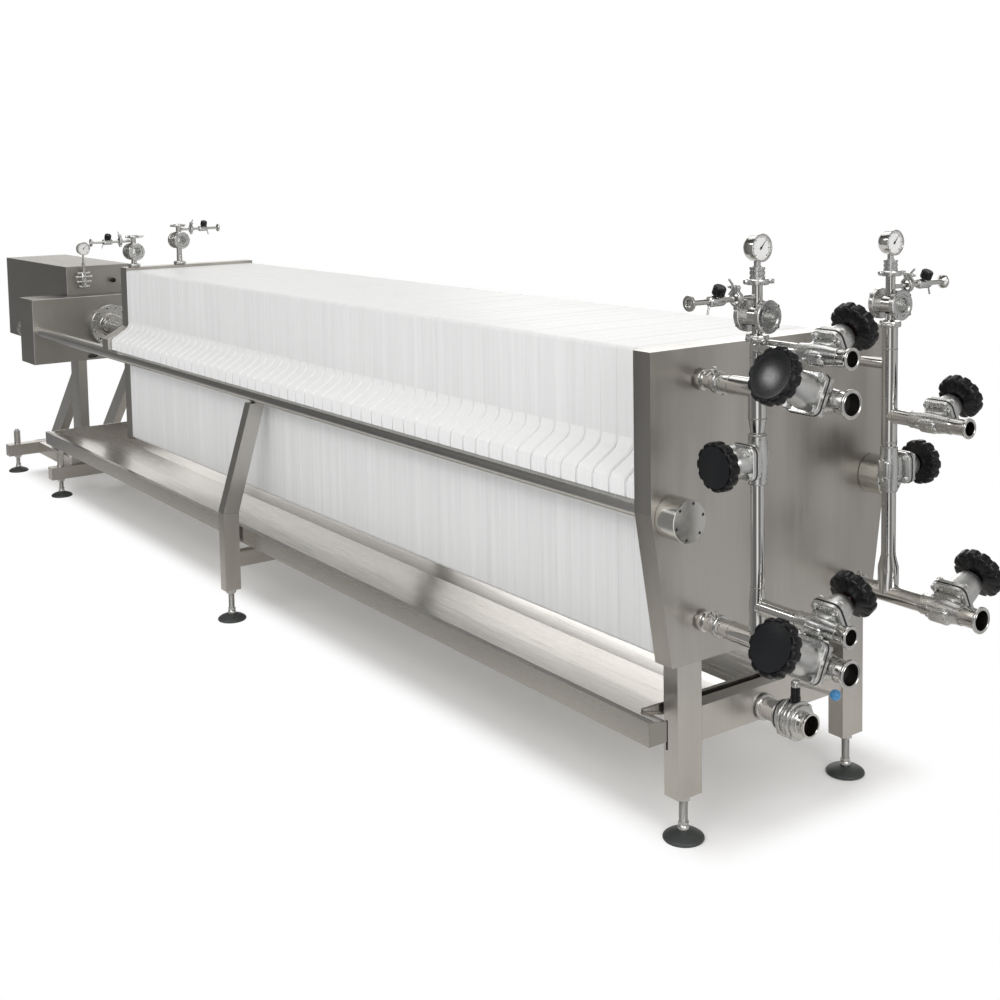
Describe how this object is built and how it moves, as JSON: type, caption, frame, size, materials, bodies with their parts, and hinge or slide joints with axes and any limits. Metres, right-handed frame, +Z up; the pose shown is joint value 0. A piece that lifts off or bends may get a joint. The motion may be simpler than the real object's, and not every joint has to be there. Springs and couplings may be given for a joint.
{
  "type": "plate filter press",
  "caption": "Hydraulic plate filter press: plate pack on two tie rods between a fixed and a moving head, with stainless pipework, diaphragm valves, drip tray and levelling feet.",
  "frame": {"origin": "on the floor under the middle of the bounding box", "axes": "+X towards the fixed head and its pipework, +Y to the right seen from the hydraulic end, +Z up"},
  "size_m": [6.49, 1.0694, 1.5075],
  "materials": {
    "brushed_steel": "brushed",
    "polished_steel": "polished",
    "cast_steel": "satin",
    "enclosure_steel": "brushed",
    "white_plastic": "satin",
    "black_plastic": "satin",
    "foot_plastic": "matte"
  },
  "bodies": {
    "press": {"fixed_head": "brushed_steel", "plate_pack_front": "white_plastic", "plate_pack_rear": "white_plastic", "tie_rod_left": "polished_steel", "tie_rod_right": "polished_steel", "rod_cap_left": "polished_steel", "rod_cap_right": "polished_steel", "yoke": "brushed_steel", "hydraulic_cylinder": "polished_steel", "hydraulic_enclosure": "enclosure_steel", "hydraulic_control": "brushed_steel", "control_knob": "black_plastic", "rear_stand_left": "brushed_steel", "rear_stand_right": "brushed_steel", "base_cross_beam_front": "brushed_steel", "base_cross_beam_rear": "brushed_steel", "base_long_beam_left": "brushed_steel", "base_long_beam_right": "brushed_steel", "front_stand": "brushed_steel", "mid_leg_left": "brushed_steel", "mid_leg_right": "brushed_steel", "mid_cross_beam": "brushed_steel", "drip_tray_left": "brushed_steel", "drip_tray_right": "brushed_steel", "tray_end_front": "brushed_steel", "tray_end_rear": "brushed_steel", "foot_near_left": "foot_plastic", "foot_near_right": "foot_plastic", "foot_mid_left": "foot_plastic", "foot_mid_right": "foot_plastic", "foot_front_left": "foot_plastic", "foot_front_right": "foot_plastic", "foot_rear_left": "foot_plastic", "foot_rear_right": "foot_plastic", "drain_valve": "polished_steel", "manifold_left": "polished_steel", "manifold_right": "polished_steel", "valve_left_top": "cast_steel", "valve_left_top_small": "cast_steel", "valve_left_bottom": "cast_steel", "valve_left_bottom_small": "cast_steel", "valve_right_top": "cast_steel", "valve_right_bottom": "cast_steel", "instruments_left": "polished_steel", "instruments_right": "polished_steel"},
    "moving_head": {"moving_head": "brushed_steel", "piston_rod": "polished_steel", "vent_left": "polished_steel", "vent_right": "polished_steel"},
    "drain_lever": {"drain_lever": "cast_steel"},
    "handwheel_left_top": {"handwheel_left_top": "black_plastic"},
    "handwheel_left_top_small": {"handwheel_left_top_small": "black_plastic"},
    "handwheel_left_middle": {"handwheel_left_middle": "black_plastic"},
    "handwheel_left_bottom": {"handwheel_left_bottom": "black_plastic"},
    "handwheel_left_bottom_small": {"handwheel_left_bottom_small": "black_plastic"},
    "handwheel_right_top": {"handwheel_right_top": "black_plastic"},
    "handwheel_right_middle": {"handwheel_right_middle": "black_plastic"},
    "handwheel_right_bottom": {"handwheel_right_bottom": "black_plastic"}
  },
  "joints": [
    {"name": "moving_head_slide", "type": "slide", "parent": "press", "child": "moving_head", "axis": [-1, 0, 0], "range_m": [0, 0.8]},
    {"name": "drain_lever_turn", "type": "hinge", "parent": "press", "child": "drain_lever", "pos_m": [2.885, -0.04, 0.3643], "axis": [0, 0, 1], "range_deg": [0, 90]},
    {"name": "left_top_spin", "type": "hinge", "parent": "press", "child": "handwheel_left_top", "pos_m": [3.155, -0.38054, 1.20621], "axis": [0, -0.9063, 0.4226], "continuous": true},
    {"name": "left_top_small_spin", "type": "hinge", "parent": "press", "child": "handwheel_left_top_small", "pos_m": [3.155, -0.16756, 1.29111], "axis": [0, 0.9063, 0.4226], "continuous": true},
    {"name": "left_middle_spin", "type": "hinge", "parent": "press", "child": "handwheel_left_middle", "pos_m": [2.968, -0.362, 0.98518], "axis": [0, -1, 0], "continuous": true},
    {"name": "left_bottom_spin", "type": "hinge", "parent": "press", "child": "handwheel_left_bottom", "pos_m": [3.155, -0.38054, 0.61121], "axis": [0, -0.9063, 0.4226], "continuous": true},
    {"name": "left_bottom_small_spin", "type": "hinge", "parent": "press", "child": "handwheel_left_bottom_small", "pos_m": [3.155, -0.16756, 0.68111], "axis": [0, 0.9063, 0.4226], "continuous": true},
    {"name": "right_top_spin", "type": "hinge", "parent": "press", "child": "handwheel_right_top", "pos_m": [3.057, 0.35244, 1.06175], "axis": [0, 0.9063, 0.4226], "continuous": true},
    {"name": "right_middle_spin", "type": "hinge", "parent": "press", "child": "handwheel_right_middle", "pos_m": [2.927, 0.362, 0.88064], "axis": [0, 1, 0], "continuous": true},
    {"name": "right_bottom_spin", "type": "hinge", "parent": "press", "child": "handwheel_right_bottom", "pos_m": [3.097, 0.38054, 0.61121], "axis": [0, 0.9063, 0.4226], "continuous": true}
  ]
}
